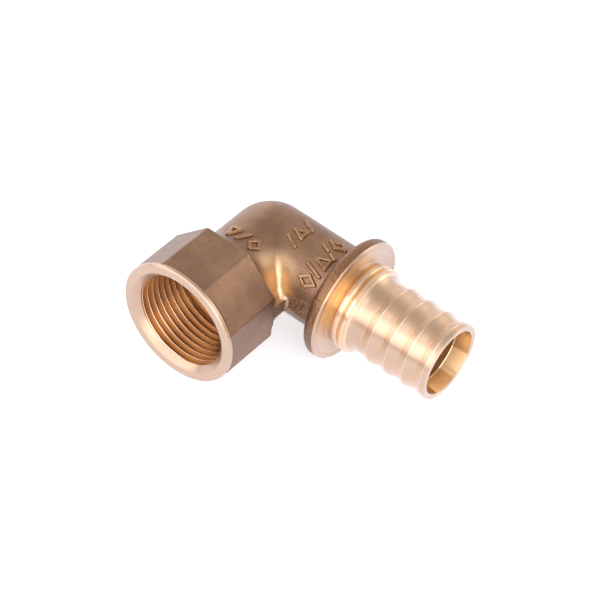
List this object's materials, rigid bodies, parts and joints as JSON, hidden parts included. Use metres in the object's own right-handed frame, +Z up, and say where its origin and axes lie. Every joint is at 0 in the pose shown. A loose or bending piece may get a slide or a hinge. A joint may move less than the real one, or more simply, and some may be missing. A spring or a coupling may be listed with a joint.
{
  "type": "pex sleeve elbow",
  "caption": "Forged brass pipe elbow: an octagonal female threaded socket at one end and a ribbed spigot with a stop collar for a pipe and sliding sleeve at the other.",
  "frame": {"origin": "under the middle of the elbow's box, at its lowest point; the two pipe axes cross 18.75 mm to -X, 9.25 mm to +Y and 16 mm up", "axes": "-Y is the way out of the threaded socket, +X is the way the ribbed spigot points, +Z is up, square to the plane of both pipe axes"},
  "size_m": [0.0694, 0.0498, 0.032],
  "materials": {
    "forged_brass": "hot-forged and blasted skin; socket mouth, thread, collar face, neck and ribbed spigot turned bright"
  },
  "bodies": {
    "root": {"elbow_body": "forged_brass"}
  },
  "joints": []
}
